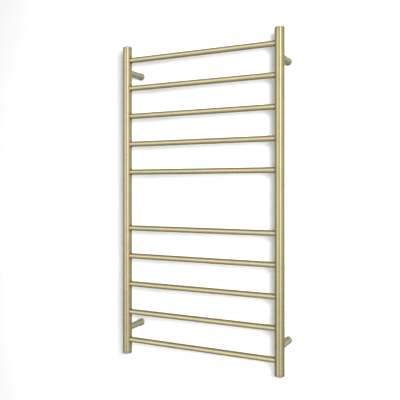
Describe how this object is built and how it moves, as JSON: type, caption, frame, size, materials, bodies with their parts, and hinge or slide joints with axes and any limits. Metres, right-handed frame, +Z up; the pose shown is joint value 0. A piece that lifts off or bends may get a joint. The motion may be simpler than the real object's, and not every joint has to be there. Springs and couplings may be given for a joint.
{
  "type": "towel warmer rack",
  "caption": "Wall-hung electric towel ladder: two round posts, round bars with a wide middle gap, and standoff arms that slide over wall bosses.",
  "frame": {"origin": "centre of the four wall screw holes, on the plane of the wall", "axes": "+X along the bars to the viewer's right, +Y into the wall, +Z up"},
  "size_m": [0.6, 0.114, 1.1],
  "materials": {
    "brushed_gold": "brushed champagne gold over stainless steel",
    "satin_gold": "satin champagne gold",
    "zinc": "zinc plated",
    "black_steel": "black oxide",
    "rubber": "matt rubber",
    "silicone": "silicone sheath",
    "white_sleeve": "glass-fibre sleeve",
    "tinned_copper": "tinned copper",
    "green_wire": "PVC insulation"
  },
  "bodies": {
    "wall_bosses": {"wall_boss_lower_left": "zinc", "wall_boss_lower_right": "zinc", "wall_boss_upper_left": "zinc", "wall_boss_upper_right": "zinc", "inlet_grommet": "rubber"},
    "ladder": {"post_left": "brushed_gold", "post_right": "brushed_gold", "bar_01": "brushed_gold", "bar_02": "brushed_gold", "bar_03": "brushed_gold", "bar_04": "brushed_gold", "bar_05": "brushed_gold", "bar_06": "brushed_gold", "bar_07": "brushed_gold", "bar_08": "brushed_gold", "bar_09": "brushed_gold", "bar_10": "brushed_gold", "end_cap_lower_left": "brushed_gold", "standoff_arm_lower_left": "satin_gold", "standoff_collar_lower_left": "satin_gold", "end_cap_lower_right": "brushed_gold", "standoff_arm_lower_right": "satin_gold", "standoff_collar_lower_right": "satin_gold", "end_cap_upper_left": "brushed_gold", "standoff_arm_upper_left": "satin_gold", "standoff_collar_upper_left": "satin_gold", "end_cap_upper_right": "brushed_gold", "standoff_arm_upper_right": "satin_gold", "standoff_collar_upper_right": "satin_gold", "heating_cable": "silicone", "thermal_cutout": "white_sleeve", "cable_end_seal": "rubber", "cable_splice": "rubber", "earth_tab": "zinc", "earth_lug": "tinned_copper", "earth_screw": "zinc", "earth_wire": "green_wire"},
    "grub_screw_lower_left": {"grub_screw_lower_left": "black_steel"},
    "grub_screw_lower_right": {"grub_screw_lower_right": "black_steel"},
    "grub_screw_upper_left": {"grub_screw_upper_left": "black_steel"},
    "grub_screw_upper_right": {"grub_screw_upper_right": "black_steel"}
  },
  "joints": [
    {"name": "ladder_slide", "type": "slide", "parent": "wall_bosses", "child": "ladder", "axis": [0, -1, 0], "range_m": [0, 0.014]},
    {"name": "grub_lower_left_back_out", "type": "slide", "parent": "ladder", "child": "grub_screw_lower_left", "axis": [0, 0, -1], "range_m": [0, 0.003]},
    {"name": "grub_lower_right_back_out", "type": "slide", "parent": "ladder", "child": "grub_screw_lower_right", "axis": [0, 0, -1], "range_m": [0, 0.003]},
    {"name": "grub_upper_left_back_out", "type": "slide", "parent": "ladder", "child": "grub_screw_upper_left", "axis": [0, 0, -1], "range_m": [0, 0.003]},
    {"name": "grub_upper_right_back_out", "type": "slide", "parent": "ladder", "child": "grub_screw_upper_right", "axis": [0, 0, -1], "range_m": [0, 0.003]}
  ]
}
